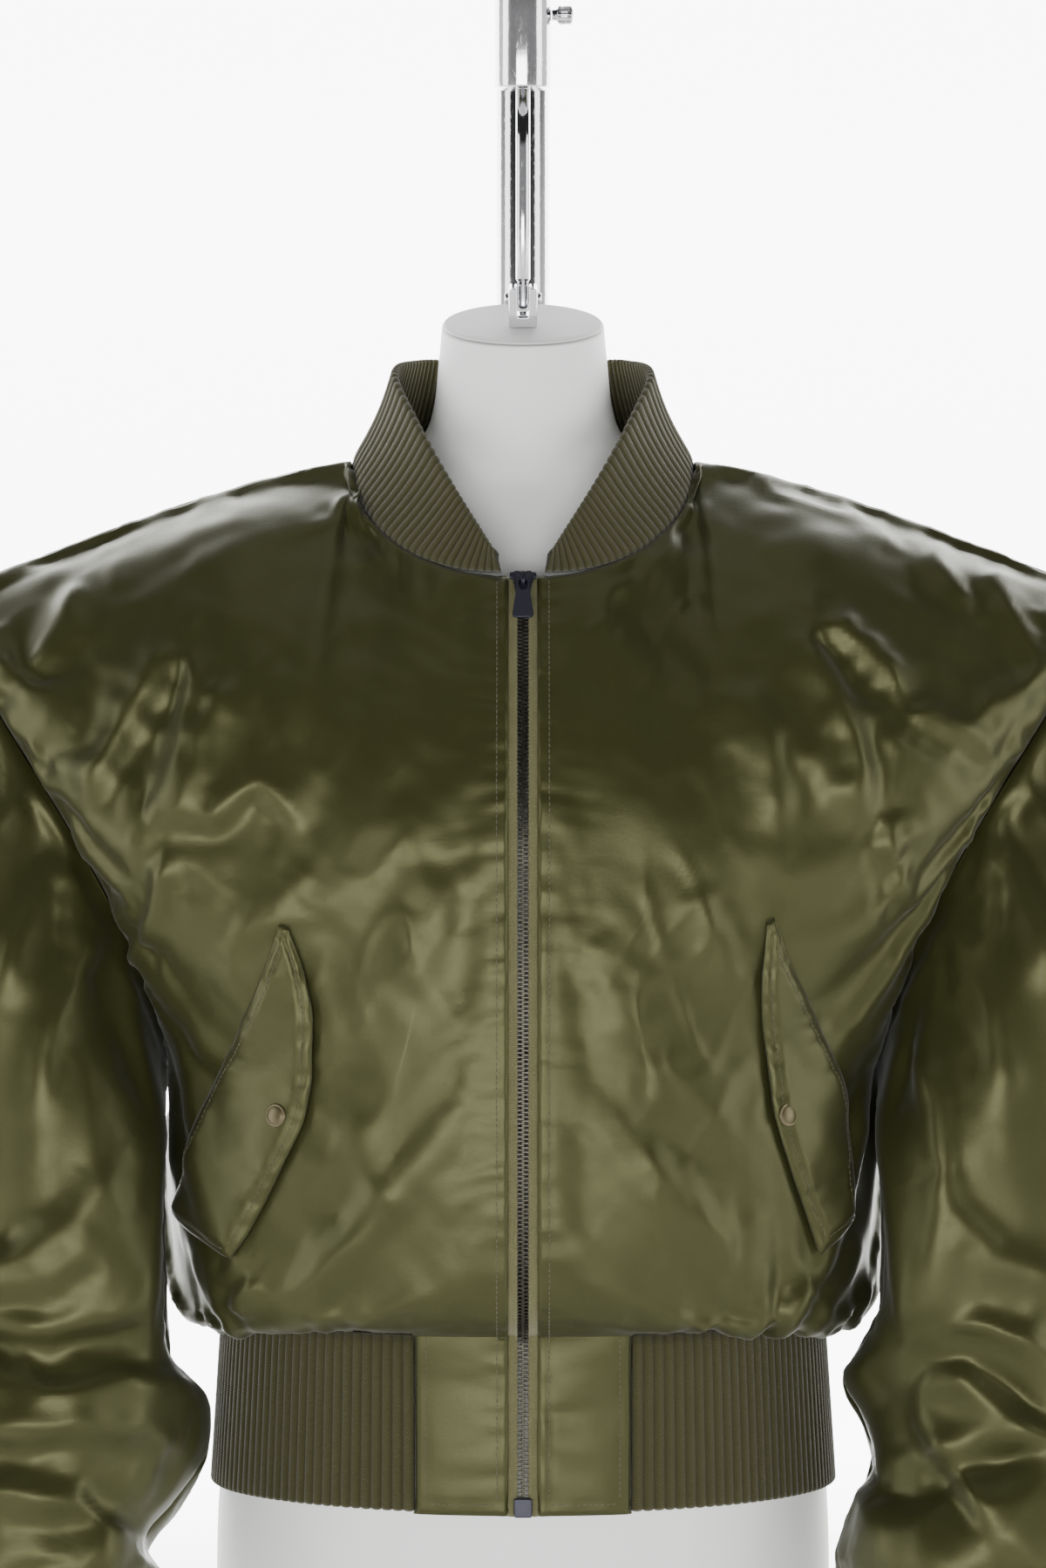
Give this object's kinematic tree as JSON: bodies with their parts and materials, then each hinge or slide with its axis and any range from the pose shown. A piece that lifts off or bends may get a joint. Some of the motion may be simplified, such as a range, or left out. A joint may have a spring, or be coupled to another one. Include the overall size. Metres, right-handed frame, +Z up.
{
  "type": "bomber jacket on a dress form",
  "caption": "Cropped satin bomber jacket with wide shoulders, knit collar, cuffs and waistband, a front zip and slanted flap pockets, on a limbless dress form that hangs from a bent tube stand.",
  "frame": {"origin": "on the floor at the underside of the stand's plate, straight below the dress form's neck", "axes": "+Z up, -Y is the jacket's front, +X is the wearer's left"},
  "size_m": [0.8007, 0.43, 1.2373],
  "materials": {
    "satin": "glossy nylon satin",
    "knit": "ribbed wool knit",
    "zip_tape": "woven tape",
    "zip_metal": "dark polished metal",
    "snap": "aged brass",
    "form": "smooth white",
    "chrome": "polished"
  },
  "bodies": {
    "jacket_and_stand": {"front_right": "satin", "front_left": "satin", "back": "satin", "sleeve_right": "satin", "sleeve_left": "satin", "cuff_right": "knit", "cuff_left": "knit", "waistband": "knit", "collar": "knit", "zip_tape_left": "zip_tape", "zip_tape_right": "zip_tape", "zip_chain": "zip_metal", "zip_slider": "zip_metal", "zip_bridge": "zip_metal", "zip_stop": "zip_metal", "pocket_flap_right": "satin", "snap_right": "snap", "pocket_flap_left": "satin", "snap_left": "snap", "dress_form": "form", "stand_plate": "chrome", "stand_socket": "chrome", "stand_column": "chrome", "stand_bend": "chrome", "stand_drop_tube": "chrome", "hanging_rod": "chrome", "neck_fork": "chrome", "fork_screw_left": "chrome", "fork_screw_right": "chrome", "thumb_screw": "chrome"},
    "pull": {"zip_pull": "zip_metal"}
  },
  "joints": [
    {"name": "zip_pull_swing", "type": "hinge", "parent": "jacket_and_stand", "child": "pull", "pos_m": [0, -0.09759, 0.78126], "axis": [-1, 0, 0], "range_deg": [0, 150]}
  ]
}
